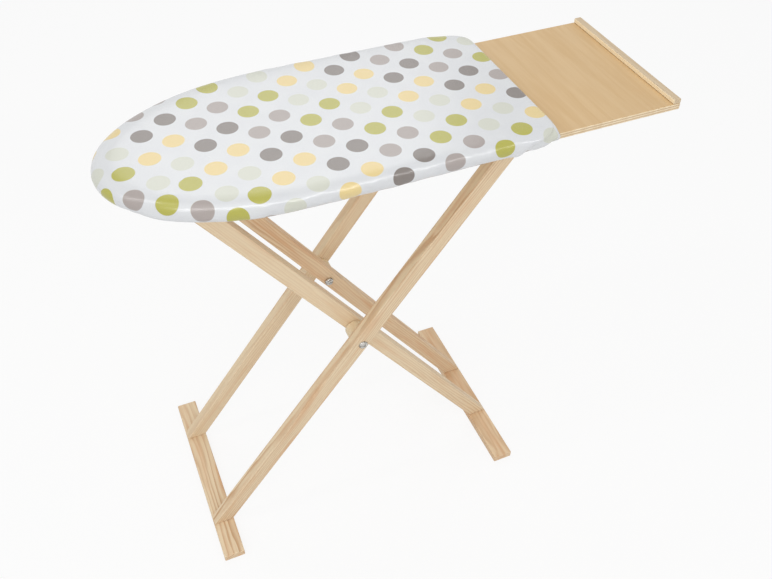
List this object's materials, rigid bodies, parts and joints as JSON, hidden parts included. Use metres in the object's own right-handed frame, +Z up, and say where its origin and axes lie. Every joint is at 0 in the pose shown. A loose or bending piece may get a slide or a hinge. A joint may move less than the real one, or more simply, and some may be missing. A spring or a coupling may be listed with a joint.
{
  "type": "toy ironing board",
  "caption": "Folding toy ironing board: plywood top with a rounded nose under a padded fabric cover, bare tray end, and crossed pine legs on foot bars.",
  "frame": {"origin": "on the floor under the middle of the board's bounding box, with the legs open", "axes": "+X along the board from the nose to the bare tray end, +Y across the board, +Z up from the floor"},
  "size_m": [0.6804, 0.298, 0.6139],
  "materials": {
    "plywood": "satin",
    "pine": "matte",
    "pale_pine": "matte",
    "cover_fabric": "satin",
    "foam": "matte",
    "elastic": "matte",
    "steel": "satin"
  },
  "bodies": {
    "board": {"board_plate": "plywood", "tray_end_strip": "pale_pine", "foam_pad": "foam", "cover": "cover_fabric", "cover_elastic": "elastic", "pivot_block_near": "pine", "pivot_block_far": "pine", "notched_rail_near": "pine", "notched_rail_far": "pine", "block_screw_near_front": "steel", "block_screw_near_rear": "steel", "block_screw_far_front": "steel", "block_screw_far_rear": "steel", "rail_screw_near_front": "steel", "rail_screw_near_rear": "steel", "rail_screw_far_front": "steel", "rail_screw_far_rear": "steel"},
    "inner_legs": {"pivot_rod": "pale_pine", "inner_leg_near": "pine", "inner_leg_far": "pine", "inner_foot_bar": "pine", "inner_foot_screw_near": "steel", "inner_foot_screw_far": "steel", "crossing_nut_near": "steel", "crossing_nut_far": "steel", "crossing_bolt_near": "steel", "crossing_bolt_far": "steel", "crossing_spacer_near": "pale_pine", "crossing_spacer_far": "pale_pine"},
    "outer_legs": {"outer_leg_near": "pine", "outer_leg_far": "pine", "outer_foot_bar": "pine", "outer_foot_screw_near": "steel", "outer_foot_screw_far": "steel", "loose_rod": "pale_pine"}
  },
  "joints": [
    {"name": "fold", "type": "hinge", "parent": "board", "child": "inner_legs", "pos_m": [-0.24775, 0, 0.572], "axis": [0, -1, 0], "range_deg": [0, 52.9]},
    {"name": "leg_crossing", "type": "hinge", "parent": "inner_legs", "child": "outer_legs", "pos_m": [-0.06874, 0, 0.3141], "axis": [0, -1, 0], "range_deg": [-104.5, 0]}
  ],
  "couplings": [
    {"joint": "leg_crossing", "follows": "fold", "ratio": -1.9754}
  ]
}
